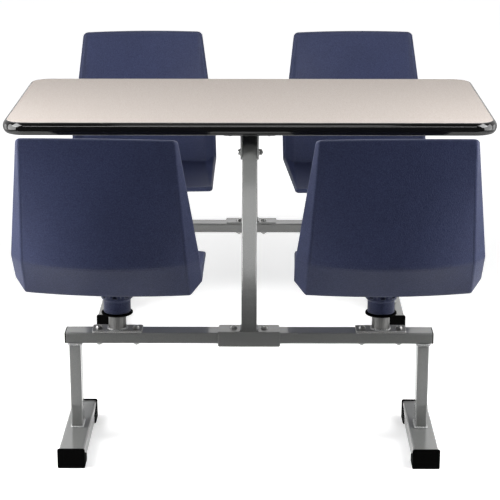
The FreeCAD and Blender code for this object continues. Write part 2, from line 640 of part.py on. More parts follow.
def bearing_ring():
    """Black thrust ring under the hub, with the curved groove that the hub's peg runs in."""
    ring = disc(RING_D, RING_UNDERSIDE, RING_TOP)
    rims = edges_at_height(ring, RING_UNDERSIDE) + edges_at_height(ring, RING_TOP)
    ring = ring.makeFillet(RING_ROUND, rims)
    ring = ring.cut(disc(SPINDLE_D + 2 * RUNNING_GAP, RING_UNDERSIDE - 1, RING_TOP + 1))
    width = STOP_PEG_D + 2 * FIT_GAP
    radius = STOP_PEG_RADIUS
    floor = RING_TOP - STOP_GROOVE_DEPTH
    inner = radius - width / 2
    outer = radius + width / 2
    sweep = Part.makeCylinder(outer, RING_THICKNESS, Vector(0, 0, floor), UP, 2 * SWIVEL_HALF_RANGE)
    sweep = sweep.cut(disc(2 * inner, floor - 1, RING_TOP + RING_THICKNESS))
    sweep = turned(sweep, 90 - SWIVEL_HALF_RANGE)
    ends = []
    for sign in (-1, 1):
        angle = math.radians(90 + sign * SWIVEL_HALF_RANGE)
        x, y = radius * math.cos(angle), radius * math.sin(angle)
        ends.append(disc(width, floor, RING_TOP + RING_THICKNESS, x, y))
    return ring.cut(sweep.fuse(ends))


def hub():
    """Moulded swivel hub: a sleeve on the spindle that flares, ribbed, to the flange under the seat."""
    flare_top = HUB_FLARE_BOTTOM + HUB_FLARE_HEIGHT
    lead = (HUB_FLARE_D - HUB_D) / 2
    flange_low = HUB_TOP - HUB_FLANGE
    sleeve = disc(HUB_D, HUB_BOTTOM, flange_low)
    sleeve = sleeve.makeChamfer(HUB_LEAD_IN, edges_at_height(sleeve, HUB_BOTTOM))
    cone = Part.makeCone(HUB_D / 2, HUB_FLARE_D / 2, lead, Vector(0, 0, HUB_FLARE_BOTTOM - lead))
    collar = disc(HUB_FLARE_D, HUB_FLARE_BOTTOM, flare_top)
    flange = disc(HUB_FLANGE_D, flange_low, HUB_TOP)
    rib_in = HUB_D / 2 - HUB_RIB_OVERLAP
    rib_low = HUB_FLARE_BOTTOM + HUB_RIB_OVERLAP
    rib_line = [Vector(rib_in, 0, rib_low), Vector(HUB_FLARE_D / 2 - 1, 0, rib_low),
                Vector(HUB_FLANGE_D / 2 - HUB_RIB_SETBACK, 0, flange_low), Vector(rib_in, 0, flange_low)]
    rib = Part.Face(Part.makePolygon(rib_line + rib_line[:1])).extrude(Vector(0, HUB_RIB, 0))
    rib = moved(rib, y=-HUB_RIB / 2)
    step = 360.0 / HUB_RIBS
    ribs = [turned(rib, step * (i + 0.5)) for i in range(HUB_RIBS)]
    notch = block(HUB_D / 2 + 1, HUB_FLARE_D, -HUB_NOTCH / 2, HUB_NOTCH / 2,
                  HUB_FLARE_BOTTOM + HUB_NOTCH_SILL, flare_top + 1)
    notches = [turned(notch, step * i) for i in range(HUB_RIBS)]
    body = sleeve.fuse([cone, collar]).cut(Part.makeCompound(notches))
    body = body.fuse([flange] + ribs)
    body = body.cut(disc(BUSH_D, HUB_BOTTOM - 1, HUB_TOP + 1))
    body = body.cut(disc(WASHER_WELL_D, hub_shoulder(), HUB_TOP + 1))
    radius = STOP_PEG_RADIUS
    peg_low = RING_TOP - STOP_GROOVE_DEPTH + FIT_GAP
    body = body.fuse(disc(STOP_PEG_D, peg_low, HUB_BOTTOM + HUB_LEAD_IN, 0, radius))
    for x, y in hub_bolt_places():
        body = body.cut(disc(SEAT_BOLT_D + 2 * BOLT_CLEARANCE, flange_low - 1, HUB_TOP + 1, x, y))
    return body.removeSplitter()


def hub_bolt_places():
    radius = HUB_FLANGE_D / 2 - HUB_BOLT_EDGE
    return [(radius, 0.0), (0.0, radius), (-radius, 0.0), (0.0, -radius)]


def seat_bolt_places():
    half = SEAT_PLATE_SIZE / 2 - SEAT_BOLT_EDGE
    return [(sx * half, sy * half) for sx in (-1, 1) for sy in (-1, 1)]


def bushes():
    """Plain bushes at the bottom and top of the hub's bore."""
    ring = disc(BUSH_D, 0, BUSH_LENGTH).cut(disc(SPINDLE_D + 2 * RUNNING_GAP, -1, BUSH_LENGTH + 1))
    lower = moved(ring, z=HUB_BOTTOM)
    upper = moved(ring, z=hub_shoulder() - BUSH_LENGTH)
    return Part.makeCompound([lower, upper])


def seat_plate():
    plate = rounded_prism(SEAT_PLATE_SIZE, SEAT_PLATE_SIZE, HUB_TOP, SEAT_BOTTOM,
                          SEAT_PLATE_CORNER)
    plate = plate.cut(disc(WASHER_WELL_D, HUB_TOP - 1, SEAT_BOTTOM + 1))
    for x, y in hub_bolt_places() + seat_bolt_places():
        hole = disc(SEAT_BOLT_D + 2 * BOLT_CLEARANCE, HUB_TOP - 1, SEAT_BOTTOM + 1, x, y)
        plate = plate.cut(hole)
    return plate


def seat_bolts():
    """Bolts from below: four through the plate into the shell, four through the hub's flange as well."""
    depth = screw_depth()
    solids = []
    for places, low in ((seat_bolt_places(), HUB_TOP), (hub_bolt_places(), HUB_TOP - HUB_FLANGE)):
        length = SEAT_BOTTOM + depth - low
        head = hex_prism(SEAT_BOLT_FLATS, SEAT_BOLT_HEAD, low - SEAT_BOLT_HEAD)
        bolt = head.fuse(disc(SEAT_BOLT_D, low - 1, low + length)).removeSplitter()
        solids += [moved(bolt, x, y) for x, y in places]
    return Part.makeCompound(solids)


def screw_depth():
    return PAN_THICKNESS - SEAT_BOLT_COVER


# ---------------------------------------------------------------- seat shell

def mirror(point):
    return Vector(-point.x, point.y, point.z)


def line_or_bow(start, middle, end):
    if (middle - (start + end) * 0.5).Length < 1e-6:
        return Part.makeLine(start, end)
    return Part.Arc(start, middle, end).toShape()


def eased_corner(before, corner, after):
    """Start, middle and end of a short arc that takes the point off a corner."""
    cuts = [min(CREASE_CUT, CORNER_SHARE * (point - corner).Length) for point in (before, after)]
    start = corner + (before - corner).normalize() * cuts[0]
    end = corner + (after - corner).normalize() * cuts[1]
    return start, (start + end) * 0.25 + corner * 0.5, end


def section(corner, middle, inner_step, edge, rim_step):
    """The points that set the shell's outline at one place along its length.

    The outer corner between panel and wing, the outer middle of the panel, the same two on the
    inside, the wing's outer edge and its inner edge.
    """
    middle_step = Vector(0, inner_step.y, inner_step.z)
    return [corner, middle, corner + inner_step, middle + middle_step, edge, edge + rim_step]


def blend(first, second, share):
    return [p + (q - p) * share for p, q in zip(first, second)]


def thinned(points, cut):
    """The same section with a cut taken off both faces and off the wings' edges."""
    corner, middle, inner, inner_middle, edge, edge_in = points
    across = (inner - corner).normalize() * cut
    across_middle = (inner_middle - middle).normalize() * cut
    across_rim = (edge_in - edge).normalize() * cut * RIM_THINNING
    back = (corner - edge).normalize() * min(cut, PULL_BACK_SHARE * (corner - edge).Length)
    return [corner + across, middle + across_middle, inner - across, inner_middle - across_middle,
            edge + across_rim + back, edge_in - across_rim + back]


def rounded_end(end, neighbour, radius):
    """Three sections that round off the end of the shell, the outermost first."""
    run = (neighbour[0] - end[0]).Length
    halfway = radius * (1 - math.sqrt(0.5))
    places = ((0.0, radius), (halfway, halfway), (radius, 0.0))
    return [thinned(blend(end, neighbour, place / run), cut) for place, cut in places]


def eased_crease(before, crease, after):
    """Three sections that turn a sharp crease between two panels into a soft one."""
    start = blend(crease, before, CREASE_EASE / (crease[0] - before[0]).Length)
    end = blend(crease, after, CREASE_EASE / (crease[0] - after[0]).Length)
    middle = blend(crease, blend(start, end, 0.5), 0.5)
    return [start, middle, end]


def outline(points):
    """Closed wire through a section: panel, wing, rim, and back along the inside."""
    corner, middle, inner, inner_middle, edge, edge_in = points
    outwards = (edge - corner).normalize() + (edge_in - inner).normalize()
    rim_peak = (edge + edge_in) * 0.5 + outwards.normalize() * RIM_BULGE
    a, a_mid, b = eased_corner(mirror(corner), corner, edge)
    c, c_mid, d = eased_corner(edge_in, inner, mirror(inner))
    arcs = [(a, a_mid, b), (b, (b + edge) * 0.5, edge), (edge, rim_peak, edge_in),
            (edge_in, (edge_in + c) * 0.5, c), (c, c_mid, d)]
    right = [line_or_bow(*arc) for arc in arcs]
    left = [line_or_bow(mirror(end), mirror(mid), mirror(start)) for start, mid, end in reversed(arcs)]
    outer = line_or_bow(mirror(a), middle, a)
    inside = line_or_bow(d, inner_middle, mirror(d))
    return Part.Wire([outer] + right + [inside] + left)


def slope(a, b):
    """Unit normal, towards the sitter, of the straight line from a to b in the side view."""
    run = math.hypot(b[0] - a[0], b[1] - a[1])
    return (-(b[1] - a[1]) / run, (b[0] - a[0]) / run)


def mitre(n1, n2, thickness):
    """Step from an outer crease to the inner one between panels with normals n1 and n2."""
    scale = thickness / (1 + n1[0] * n2[0] + n1[1] * n2[1])
    return ((n1[0] + n2[0]) * scale, (n1[1] + n2[1]) * scale)


def wing(out, forward, up):
    """Step from a corner between panel and wing to the wing's outer edge."""
    return Vector(out, -forward, up)


def seat_point(half, back, height):
    return Vector(half, back, SEAT_BOTTOM + height)


def shell_sections():
    """The rounded front edge, the eased hip and bend creases, and the rounded top."""
    n_pan = slope((-PAN_REACH, 0.0), (HIP_BACK, 0.0))
    n_bend = slope((HIP_BACK, 0.0), (BEND_BACK, BEND_RISE))
    n_back = slope((BEND_BACK, BEND_RISE), (TOP_BACK, TOP_HEIGHT))
    bend_thickness = (BACK_THICKNESS + PAN_THICKNESS) / 2
    rim_in = RIM_LEAN_IN * RIM_THICKNESS
    rim_up = RIM_LEAN_UP * RIM_THICKNESS
    tilt = TOP_CROWN / TOP_BULGE
    front_corner = seat_point(SEAT_HALF_WIDTH, -PAN_REACH, 0)
    front = section(front_corner, seat_point(0, -PAN_REACH, 0),
                    Vector(-INNER_SHARE_FRONT * PAN_THICKNESS, 0, PAN_THICKNESS),
                    front_corner + wing(PAN_WING, 0, WING_START * PAN_THICKNESS),
                    Vector(-WING_START_LEAN, 0, WING_START_RISE * PAN_THICKNESS))
    hip_corner = seat_point(HIP_HALF_WIDTH, HIP_BACK, 0)
    hip = section(hip_corner, seat_point(0, HIP_BACK + HIP_BULGE, 0),
                  Vector(-INNER_SHARE * PAN_THICKNESS, *mitre(n_pan, n_bend, PAN_THICKNESS)),
                  hip_corner + wing(*HIP_WING), Vector(-rim_in, *mitre(n_pan, n_bend, rim_up)))
    bend_corner = seat_point(BEND_HALF_WIDTH, BEND_BACK, BEND_RISE)
    bend = section(bend_corner, seat_point(0, BEND_BACK + BEND_BULGE, BEND_RISE - BEND_DROP),
                   Vector(-INNER_SHARE * bend_thickness, *mitre(n_bend, n_back, bend_thickness)),
                   bend_corner + wing(*BEND_WING), Vector(-rim_in, *mitre(n_bend, n_back, rim_up)))
    top_corner = seat_point(TOP_HALF_WIDTH, TOP_BACK, TOP_HEIGHT)
    out, forward = TOP_WING
    top = section(top_corner, seat_point(0, TOP_BACK + TOP_BULGE, TOP_HEIGHT + TOP_CROWN),
                  Vector(-INNER_SHARE * BACK_THICKNESS, -BACK_THICKNESS, -tilt * BACK_THICKNESS),
                  top_corner + wing(out, forward, -tilt * forward), Vector(-rim_in, -rim_up, -tilt * rim_up))
    front_edge = rounded_end(front, hip, FRONT_ROUND)
    top_edge = rounded_end(top, bend, TOP_ROUND)[::-1]
    return front_edge + eased_crease(front, hip, bend) + eased_crease(hip, bend, top) + top_edge


def top_trim():
    """Everything below the two rounded corners of the shell's top edge."""
    side = TOP_RIM_HALF_WIDTH + RIM_BULGE
    flat = side - TOP_CORNER_R
    shoulder = SEAT_BOTTOM + TOP_HEIGHT - TOP_SHOULDER
    spring = shoulder - TOP_CORNER_R
    diagonal = TOP_CORNER_R * math.sqrt(0.5)
    wide = 2 * side
    low = SEAT_BOTTOM - PAN_THICKNESS
    high = SEAT_BOTTOM + TOP_HEIGHT + PAN_THICKNESS
    right = [Vector(flat, 0, high), Vector(flat, 0, shoulder), Vector(flat + diagonal, 0, spring + diagonal),
             Vector(side, 0, spring), Vector(wide, 0, spring), Vector(wide, 0, low)]
    lines = ((right[0], right[1]), (right[3], right[4]), (right[4], right[5]))
    edges = [line_or_bow(*right[1:4])] + [Part.makeLine(*pair) for pair in lines]
    edges += [edge.mirror(Vector(0, 0, 0), ALONG) for edge in edges]
    edges += [Part.makeLine(mirror(point), point) for point in (right[0], right[-1])]
    face = Part.Face(Part.Wire(Part.__sortEdges__(edges)))
    face.translate(Vector(0, -2 * PAN_REACH, 0))
    return face.extrude(Vector(0, 3 * (PAN_REACH + TOP_BACK), 0))


def front_corner_trims():
    """What rounding takes off the two front corners of the pan, seen from above."""
    radius = FRONT_CORNER_R
    x_centre = PAN_RIM_HALF_WIDTH + RIM_BULGE + FRONT_MARGIN - radius
    y_centre = radius - PAN_REACH
    low = SEAT_BOTTOM - PAN_THICKNESS
    high = SEAT_BOTTOM + 3 * PAN_THICKNESS
    square = block(x_centre, x_centre + 2 * radius, y_centre - 2 * radius, y_centre, low, high)
    right = square.cut(disc(2 * radius, low - 1, high + 1, x_centre, y_centre))
    return [right, right.mirror(Vector(0, 0, 0), ALONG)]


def seat_shell():
    """Faceted bucket: pan, bend and back as curved panels, with wings that fade out at the front."""
    shell = Part.makeLoft([outline(points) for points in shell_sections()], True, True).common(top_trim())
    holes = [disc(SEAT_BOLT_D + 2 * RUNNING_GAP, SEAT_BOTTOM - 1, SEAT_BOTTOM + screw_depth() + 0.5, x, y)
             for x, y in seat_bolt_places() + hub_bolt_places()]
    return shell.cut(front_corner_trims() + holes)


# ---------------------------------------------------------------- assembly

def build():
    nodes = dict(table_parts())
    for end, side in ENDS.items():
        nodes[f"beam_{end}"] = beam(side)
        nodes[f"post_{end}"] = post(side)
        nodes[f"top_bracket_{end}"] = top_bracket(side)
        nodes[f"saddle_{end}"] = saddle(side)
    nodes["beam_plugs"] = beam_plugs()
    nodes["bracket_screws"] = bracket_screws()
    nodes["post_bolts"] = post_bolts()
    nodes["saddle_bolts"] = plate_bolts([sign * SADDLE_BOLT_X for sign in (-1, 1)])
    nodes["pedestal_bolts"] = plate_bolts(pedestal_bolt_places())
    for name, (x_side, y_side) in STATIONS.items():
        nodes[f"leg_{name}"] = leg(x_side, y_side)
        nodes[f"foot_{name}"] = foot(x_side, y_side)
        nodes[f"foot_caps_{name}"] = Part.makeCompound([foot_cap(x_side, y_side, end) for end in (-1, 1)])
        nodes[f"pedestal_{name}"] = at_station(pedestal(), name)
        nodes[f"seat_shell_{name}"] = at_station(seat_shell(), name, rest=True)
        nodes[f"seat_plate_{name}"] = at_station(seat_plate(), name, rest=True)
        nodes[f"hub_{name}"] = at_station(hub(), name, rest=True)
        nodes[f"hub_bushes_{name}"] = at_station(bushes(), name, rest=True)
        nodes[f"seat_bolts_{name}"] = at_station(seat_bolts(), name, rest=True)
    for group, maker in (("spindles", spindle), ("retainers", retainer), ("bearing_rings", bearing_ring)):
        nodes[group] = Part.makeCompound([at_station(maker(), name) for name in STATIONS])
    return nodes


os.makedirs("parts", exist_ok=True)
for node, shape in build().items():
    shape.exportStep(f"parts/{node}.step")
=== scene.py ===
import json
import math

import bpy
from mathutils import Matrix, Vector

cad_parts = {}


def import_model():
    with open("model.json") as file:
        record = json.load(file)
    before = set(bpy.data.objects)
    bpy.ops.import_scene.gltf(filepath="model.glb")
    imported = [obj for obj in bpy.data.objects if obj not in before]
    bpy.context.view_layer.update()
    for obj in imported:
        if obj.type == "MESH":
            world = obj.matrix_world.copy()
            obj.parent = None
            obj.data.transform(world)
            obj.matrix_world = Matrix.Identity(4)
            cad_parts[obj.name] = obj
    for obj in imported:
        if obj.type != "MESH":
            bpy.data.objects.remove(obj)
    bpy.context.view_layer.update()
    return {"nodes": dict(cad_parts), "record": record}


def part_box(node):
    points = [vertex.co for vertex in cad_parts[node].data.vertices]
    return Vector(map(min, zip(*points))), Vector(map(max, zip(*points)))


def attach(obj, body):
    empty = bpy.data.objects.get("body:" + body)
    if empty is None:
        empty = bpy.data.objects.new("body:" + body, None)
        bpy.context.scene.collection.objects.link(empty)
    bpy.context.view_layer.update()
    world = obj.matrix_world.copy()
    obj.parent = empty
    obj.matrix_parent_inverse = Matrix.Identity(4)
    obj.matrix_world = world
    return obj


# Looks of the table with four swivel seats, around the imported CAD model. Metres, same frame as the CAD:
# +X right, +Y away from the camera, +Z up, origin on the floor under the middle of the table.

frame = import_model()

STATIONS = ("fl", "fr", "rl", "rr")


# ---------------------------------------------------------------- material building blocks

# sockets of a Mix node that mixes colours
MIX_A, MIX_B, MIX_RESULT = 6, 7, 2

# how far the softened normal leaves the flat one, as a cosine, where an edge starts and where it is full
EDGE_STARTS, EDGE_FULL = 0.997, 0.93
EDGE_SAMPLES = 6
ROUND_SAMPLES = 4


class Look:
    """A material with a Principled shader and object coordinates to hang textures on."""

    def __init__(self, name, colour, roughness, metallic=0.0, **sockets):
        """The colour is the shader's own. A look with a ramp shows the ramp instead."""
        self.material = bpy.data.materials.new(name)
        self.material.use_nodes = True
        self.nodes = self.material.node_tree.nodes
        self.links = self.material.node_tree.links
        self.shader = self.nodes["Principled BSDF"]
        self.set("Base Color", (*colour, 1.0))
        self.set("Roughness", roughness)
        self.set("Metallic", metallic)
        for socket, value in sockets.items():
            self.set(socket.replace("_", " "), value)
        self.place = self.nodes.new("ShaderNodeTexCoord").outputs["Object"]
        self.normal = None

    def set(self, socket, value):
        self.shader.inputs[socket].default_value = value

    def stretched(self, scale):
        """Object coordinates times a scale for each axis."""
        node = self.nodes.new("ShaderNodeMapping")
        node.inputs["Scale"].default_value = scale
        self.links.new(self.place, node.inputs["Vector"])
        return node.outputs[0]

    def noise(self, scale, detail=3.0, rough=0.5, at=None):
        node = self.nodes.new("ShaderNodeTexNoise")
        node.inputs["Scale"].default_value = scale
        node.inputs["Detail"].default_value = detail
        node.inputs["Roughness"].default_value = rough
        self.links.new(at or self.place, node.inputs["Vector"])
        return node.outputs[0]

    def cells(self, scale, feature="F1"):
        node = self.nodes.new("ShaderNodeTexVoronoi")
        node.feature = feature
        node.inputs["Scale"].default_value = scale
        self.links.new(self.place, node.inputs["Vector"])
        return node.outputs["Distance"]

    def ramp(self, value, stops):
        """Colours or greys by value: stops are (position, colour or grey)."""
        node = self.nodes.new("ShaderNodeValToRGB")
        band = node.color_ramp
        while len(band.elements) < len(stops):
            band.elements.new(0.5)
        for element, (position, colour) in zip(band.elements, stops):
            rgb = colour if isinstance(colour, tuple) else (colour,) * 3
            element.position = position
            element.color = (*rgb, 1.0)
        self.links.new(value, node.inputs[0])
        return node.outputs[0]

    def times(self, first, second):
        """Two colour outputs multiplied."""
        node = self.nodes.new("ShaderNodeVectorMath")
        node.operation = "MULTIPLY"
        self.links.new(first, node.inputs[0])
        self.links.new(second, node.inputs[1])
        return node.outputs[0]

    def mixed(self, first, colour, share):
        """A colour output with another colour over it, by share."""
        node = self.nodes.new("ShaderNodeMix")
        node.data_type = "RGBA"
        self.links.new(share, node.inputs["Factor"])
        self.links.new(first, node.inputs[MIX_A])
        node.inputs[MIX_B].default_value = (*colour, 1.0)
        return node.outputs[MIX_RESULT]

    def edges(self, radius):
        """1 on sharp edges, 0 on flat ground, over a radius."""
        soft = self.nodes.new("ShaderNodeBevel")
        soft.samples = EDGE_SAMPLES
        soft.inputs["Radius"].default_value = radius
        dot = self.nodes.new("ShaderNodeVectorMath")
        dot.operation = "DOT_PRODUCT"
        self.links.new(soft.outputs[0], dot.inputs[0])
        self.links.new(self.nodes.new("ShaderNodeNewGeometry").outputs["True Normal"], dot.inputs[1])
        spread = self.nodes.new("ShaderNodeMapRange")
        self.links.new(dot.outputs["Value"], spread.inputs["Value"])
        span = (("From Min", EDGE_STARTS), ("From Max", EDGE_FULL), ("To Min", 0.0), ("To Max", 1.0))
        for socket, value in span:
            spread.inputs[socket].default_value = value
        return spread.outputs[0]

    def colour(self, output):
        self.links.new(output, self.shader.inputs["Base Color"])

    def rounded(self, radius):
        """Softens the shading of sharp edges by a radius."""
        node = self.nodes.new("ShaderNodeBevel")
        node.samples = ROUND_SAMPLES
        node.inputs["Radius"].default_value = radius
        self.links.new(node.outputs[0], self.shader.inputs["Normal"])
        self.normal = node.outputs[0]

    def bump(self, height, depth, strength):
        """Height in 0 to 1 becomes relief of that depth in metres."""
        node = self.nodes.new("ShaderNodeBump")
        node.inputs["Strength"].default_value = strength
        node.inputs["Distance"].default_value = depth
        self.links.new(height, node.inputs["Height"])
        if self.normal is not None:
            self.links.new(self.normal, node.inputs["Normal"])
        self.links.new(node.outputs[0], self.shader.inputs["Normal"])
        self.normal = node.outputs[0]


# ---------------------------------------------------------------- materials

def seat_plastic(name):
    """Pebbled moulded plastic, with a painted highlight: paler along its edges."""
    look = Look(name, colour=(0.031, 0.038, 0.084), roughness=0.45, Specular_IOR_Level=0.15)
    grain = look.noise(scale=380.0, detail=2.0, rough=0.6)
    body = look.ramp(grain, [(0.32, (0.022, 0.028, 0.066)), (0.68, (0.039, 0.047, 0.101))])
    cloud = look.ramp(look.noise(scale=9.0, detail=4.0), [(0.3, 0.94), (0.7, 1.06)])
    # painted highlight: a paler colour along sharp edges and creases
    edge_highlight = (0.075, 0.085, 0.135)
    look.colour(look.mixed(look.times(body, cloud), edge_highlight, look.edges(radius=0.006)))
    look.bump(grain, depth=0.0006, strength=0.8)
    look.bump(look.cells(scale=650.0, feature="SMOOTH_F1"), depth=0.00025, strength=0.6)
    return look.material


def laminate():
    """Matt decorative laminate with a fine speckle."""
    look = Look("laminate", colour=(0.60, 0.545, 0.51), roughness=0.55, Specular_IOR_Level=0.02)
    speckle = look.noise(scale=420.0, detail=3.0, rough=0.7)
    dark, middle, light = (0.525, 0.457, 0.416), (0.605, 0.542, 0.50), (0.675, 0.63, 0.597)
    look.colour(look.ramp(speckle, [(0.34, dark), (0.5, middle), (0.68, light)]))
    look.bump(look.noise(scale=300.0, detail=2.0), depth=0.0001, strength=0.25)
    return look.material


def edge_band():
    """Gloss black moulding, not quite even."""
    look = Look("edge_band", colour=(0.003, 0.003, 0.003), roughness=0.08)
    look.bump(look.noise(scale=60.0, detail=2.0), depth=0.0002, strength=0.12)
    return look.material


def powder_coat():
    """Grey baked paint under a clear coat, with a painted highlight: a little paler along its edges."""
    look = Look("powder_coat", colour=(0.15, 0.153, 0.15), roughness=0.40, metallic=0.1,
                Specular_IOR_Level=0.12, Coat_Weight=1.0, Coat_Roughness=0.07)
    speckle = look.noise(scale=700.0, detail=3.0, rough=0.7)
    body = look.ramp(speckle, [(0.35, (0.125, 0.128, 0.124)), (0.65, (0.165, 0.168, 0.163))])
    # painted highlight: a paler grey along sharp edges
    look.colour(look.mixed(body, (0.26, 0.265, 0.26), look.edges(radius=0.0016)))
    look.rounded(radius=0.0015)
    look.bump(look.noise(scale=260.0, detail=2.0), depth=0.0001, strength=0.35)
    return look.material


def weld_paint():
    """The same paint over the beads, with a painted highlight: a brighter colour than the frame's."""
    look = Look("weld_paint", colour=(0.30, 0.305, 0.30), roughness=0.30, metallic=0.3,
                Coat_Weight=1.0, Coat_Roughness=0.03)
    speckle = look.noise(scale=350.0, detail=3.0, rough=0.7)
    # painted highlight: the beads' colour runs brighter than the frame paint
    look.colour(look.ramp(speckle, [(0.35, (0.17, 0.173, 0.17)), (0.65, (0.42, 0.425, 0.42))]))
    look.bump(look.noise(scale=500.0, detail=3.0), depth=0.0006, strength=0.6)
    return look.material


def galvanised():
    """Drawn zinc-coated steel with upright streaks, and painted highlights: bright along its edges."""
    look = Look("galvanised", colour=(0.16, 0.16, 0.157), roughness=0.38, metallic=0.85)
    look.rounded(radius=0.001)
    streaks = look.noise(scale=1.0, detail=3.0, at=look.stretched((900.0, 900.0, 18.0)))
    zinc = look.ramp(streaks, [(0.3, (0.12, 0.12, 0.117)), (0.7, (0.20, 0.20, 0.195))])
    # painted highlight: near white along sharp edges
    look.colour(look.mixed(zinc, (0.55, 0.55, 0.54), look.edges(radius=0.0028)))
    look.bump(streaks, depth=0.00008, strength=0.4)
    return look.material


def black_plastic():
    """Matt moulded plastic of the caps and plugs."""
    look = Look("black_plastic", colour=(0.002, 0.002, 0.002), roughness=0.6, Specular_IOR_Level=0.01)
    look.rounded(radius=0.001)
    look.bump(look.cells(scale=700.0), depth=0.00015, strength=0.3)
    return look.material


def plated_steel(name, colour, roughness):
    """Bright metal with faint darker clouds."""
    look = Look(name, colour, roughness, metallic=1.0)
    look.rounded(radius=0.0006)
    darker = tuple(0.85 * channel for channel in colour)
    look.colour(look.ramp(look.noise(scale=120.0, detail=3.0), [(0.3, darker), (0.7, colour)]))
    look.bump(look.noise(scale=500.0, detail=2.0), depth=0.00006, strength=0.3)
    return look.material


def chip_board():
    look = Look("chip_board", colour=(0.50, 0.38, 0.26), roughness=0.8)
    look.colour(look.ramp(look.cells(scale=330.0), [(0.1, (0.34, 0.24, 0.15)), (0.6, (0.55, 0.43, 0.30))]))
    look.bump(look.noise(scale=400.0, detail=3.0), depth=0.0002, strength=0.5)
    return look.material


def backer_sheet():
    look = Look("backer_sheet", colour=(0.30, 0.27, 0.24), roughness=0.62)
    fibres = look.noise(scale=160.0, detail=3.0)
    look.colour(look.ramp(fibres, [(0.3, (0.27, 0.24, 0.21)), (0.7, (0.33, 0.30, 0.265))]))
    look.bump(look.noise(scale=300.0, detail=2.0), depth=0.0001, strength=0.3)
    return look.material


def black_paint():
    look = Look("black_paint", colour=(0.014, 0.014, 0.015), roughness=0.45)
    look.rounded(radius=0.001)
    look.bump(look.noise(scale=700.0, detail=2.0), depth=0.0001, strength=0.4)
    return look.material


def bronze():
    look = Look("bronze", colour=(0.45, 0.30, 0.14), roughness=0.4, metallic=1.0)
    grain = look.noise(scale=500.0, detail=2.0)
    look.colour(look.ramp(grain, [(0.3, (0.36, 0.23, 0.10)), (0.7, (0.50, 0.34, 0.17))]))
    look.bump(look.noise(scale=800.0, detail=2.0), depth=0.00005, strength=0.4)
    return look.material


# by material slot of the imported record
LOOKS = {
    "laminate": laminate(),
    "core_board": chip_board(),
    "backer_sheet": backer_sheet(),
    "edge_band": edge_band(),
    "frame_paint": powder_coat(),
    "pedestal_steel": galvanised(),
    "black_plastic": black_plastic(),
    "seat_blue": seat_plastic("seat_blue"),
    "hub_blue": seat_plastic("hub_blue"),
    "black_paint": black_paint(),
    "turned_steel": plated_steel("turned_steel", colour=(0.56, 0.56, 0.55), roughness=0.25),
    "bush_bronze": bronze(),
    "zinc_steel": plated_steel("zinc_steel", colour=(0.52, 0.52, 0.51), roughness=0.32),
}

WELD_LOOK = weld_paint()

for row in frame["record"]["subparts"]:
    mesh = frame["nodes"][row["node"]].data
    mesh.materials.clear()
    mesh.materials.append(LOOKS[row["material_slot"]])


# ---------------------------------------------------------------- weld beads

# a bead's sections: how far apart, in radii, how many points round each, and the size of an open end
BEAD_STEP = 0.45
BEAD_AROUND = 8
BEAD_END = 0.45

# a section's size: least size, height and turn of the ripples, and of the slower unevenness by place
RIPPLE_LEAST = 0.86
RIPPLE_HEIGHT, RIPPLE_TURN = 0.2, 0.62
UNEVEN_HEIGHT, UNEVEN_TURN, UNEVEN_X, UNEVEN_Y = 0.1, 1.9, 37.0, 53.0

# sizes that the CAD gives the welded tubes
LEG_CORNER = 0.0035
POST_HALF = 0.0185
COLUMN_RADIUS = 0.0212

# round the leg's foot, and round its top under the beam
FOOT_BEAD, FOOT_BEAD_RISE, FOOT_BEAD_OUT = 0.0032, 0.0016, 0.0
BEAM_BEAD, BEAM_BEAD_DROP, BEAM_BEAD_OUT = 0.0036, 0.0022, 0.0006

# along both sides of a post, on the saddle: from and to are measured from the post's outer face
POST_BEAD, POST_BEAD_RISE, POST_BEAD_OUT = 0.0036, 0.001, 0.0014
POST_BEAD_FROM, POST_BEAD_TO = 0.002, 0.040

# round a pedestal's column, on its plate
COLUMN_BEAD, COLUMN_BEAD_RISE, COLUMN_BEAD_OUT = 0.0019, 0.0058, 0.0016
COLUMN_BEAD_POINTS = 60


def ripple(index, at):
    """Size of a bead's section, about 1."""
    ripples = RIPPLE_HEIGHT * abs(math.sin(RIPPLE_TURN * index))
    uneven = UNEVEN_HEIGHT * math.sin(UNEVEN_TURN * index + UNEVEN_X * at.x + UNEVEN_Y * at.y)
    return RIPPLE_LEAST + ripples + uneven


